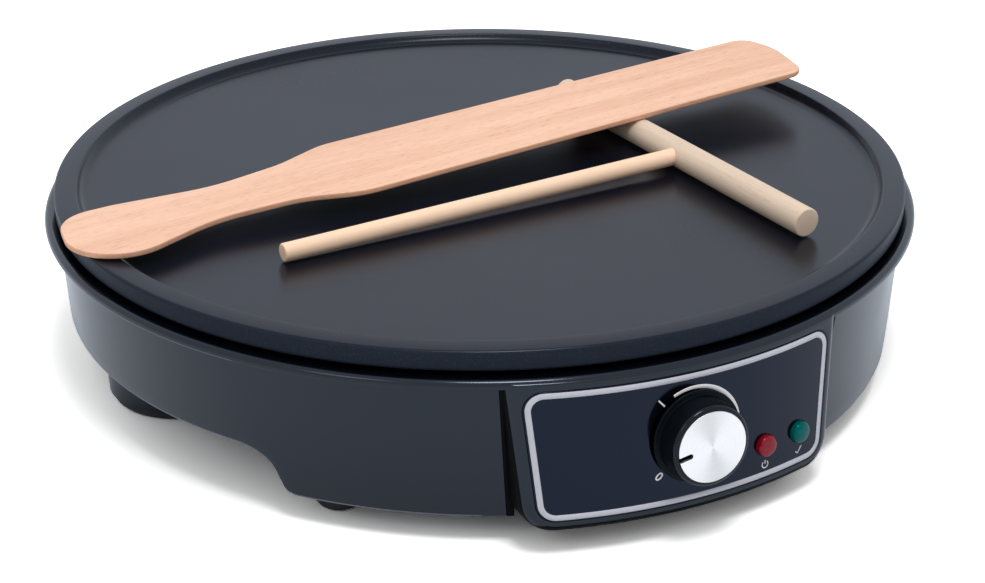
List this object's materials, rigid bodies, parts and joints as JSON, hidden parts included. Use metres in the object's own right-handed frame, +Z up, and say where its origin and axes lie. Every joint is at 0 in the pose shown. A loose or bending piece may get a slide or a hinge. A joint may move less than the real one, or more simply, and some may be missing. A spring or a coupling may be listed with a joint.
{
  "type": "electric crepe maker",
  "caption": "Round electric crepe maker: dished non-stick plate on a moulded housing with a curved dial panel and two lamps, with wooden spatula and spreader.",
  "frame": {"origin": "on the plate's vertical axis, at the level of the worktop that the feet stand on", "axes": "+Z up, control panel facing -Y, +X to the right of someone facing the panel"},
  "size_m": [0.3078, 0.3215, 0.0796],
  "materials": {
    "nonstick": "satin dark grey non-stick coating with fine pale speckle on cast aluminium",
    "housing_plastic": "glossy very dark navy moulded heat-resistant plastic",
    "panel_plastic": "glossy black panel",
    "silver_print": "satin silver printed border",
    "dial_black": "satin black moulded plastic",
    "spun_aluminium": "bright aluminium with radial spun sheen",
    "element_steel": "heat-tinted steel tube",
    "zinc_steel": "zinc-plated sheet and screws",
    "bright_steel": "plain steel",
    "bare_aluminium": "plain sheet aluminium",
    "white_ceramic": "matt steatite ceramic",
    "bimetal": "brown-grey bimetal strip",
    "contact_copper": "copper alloy leaf",
    "brass_tab": "brass terminal",
    "red_lens": "translucent red lens",
    "green_lens": "translucent green lens",
    "neon_glass": "clear glass lamp",
    "rubber_black": "matt black rubber",
    "nylon_black": "matt black nylon",
    "fuse_body": "tinned fuse case",
    "glass_sleeve": "woven glass-fibre sleeve",
    "wire_brown": "brown silicone insulation",
    "wire_red": "red silicone insulation",
    "wire_blue": "blue silicone insulation",
    "wire_green": "green silicone insulation",
    "spreader_wood": "pale sanded beech, bare",
    "spatula_wood": "pinkish sanded beech, bare"
  },
  "bodies": {
    "base": {"cooking_plate": "nonstick", "heating_element": "element_steel", "element_seals": "white_ceramic", "element_pins": "bright_steel", "element_clamps": "zinc_steel", "clamp_screws": "zinc_steel", "heat_shield": "zinc_steel", "plate_spacers": "zinc_steel", "plate_screws": "zinc_steel", "housing": "housing_plastic", "control_panel": "panel_plastic", "panel_border": "silver_print", "thermostat_base": "zinc_steel", "shaft_nut": "bright_steel", "thermostat_bracket": "zinc_steel", "bracket_screws": "zinc_steel", "ceramic_stack": "white_ceramic", "stack_rivet": "bright_steel", "contact_leaf": "contact_copper", "switch_leaf": "contact_copper", "bimetal_leaf": "bimetal", "thermostat_tabs": "brass_tab", "heat_strap": "bare_aluminium", "strap_screw": "zinc_steel", "power_lens": "red_lens", "ready_lens": "green_lens", "lens_clips": "bright_steel", "neon_lamps": "neon_glass", "base_cover": "housing_plastic", "cover_screws": "zinc_steel", "leg_pads": "rubber_black", "front_feet": "rubber_black", "thermal_fuse": "fuse_body", "fuse_sleeve": "glass_sleeve", "fuse_clip": "zinc_steel", "terminal_block": "white_ceramic", "block_clamps": "brass_tab", "earth_tag": "brass_tab", "tag_screws": "zinc_steel", "block_screws": "zinc_steel", "cord_gland": "nylon_black", "gland_nut": "nylon_black", "cord_clamp": "nylon_black", "cord_clamp_screws": "zinc_steel", "live_lead": "wire_brown", "switched_lead": "wire_red", "fused_lead": "wire_red", "neutral_lead": "wire_blue", "earth_lead": "wire_green"},
    "dial": {"dial_knob": "dial_black", "knob_cap": "spun_aluminium", "knob_clip": "bright_steel", "thermostat_shaft": "bright_steel"},
    "spreader": {"spreader_bar": "spreader_wood", "spreader_handle": "spreader_wood"},
    "spatula": {"spatula": "spatula_wood"}
  },
  "joints": [
    {"name": "dial_turn", "type": "hinge", "parent": "base", "child": "dial", "pos_m": [0, -0.15622, 0.0346], "axis": [0, -0.996, 0.0896], "range_deg": [-232, 32]},
    {"name": "spreader_lift", "type": "slide", "parent": "base", "child": "spreader", "axis": [0, 0, 1], "range_m": [0, 0.15]},
    {"name": "spatula_lift", "type": "slide", "parent": "spreader", "child": "spatula", "axis": [0, 0, 1], "range_m": [0, 0.15]}
  ]
}
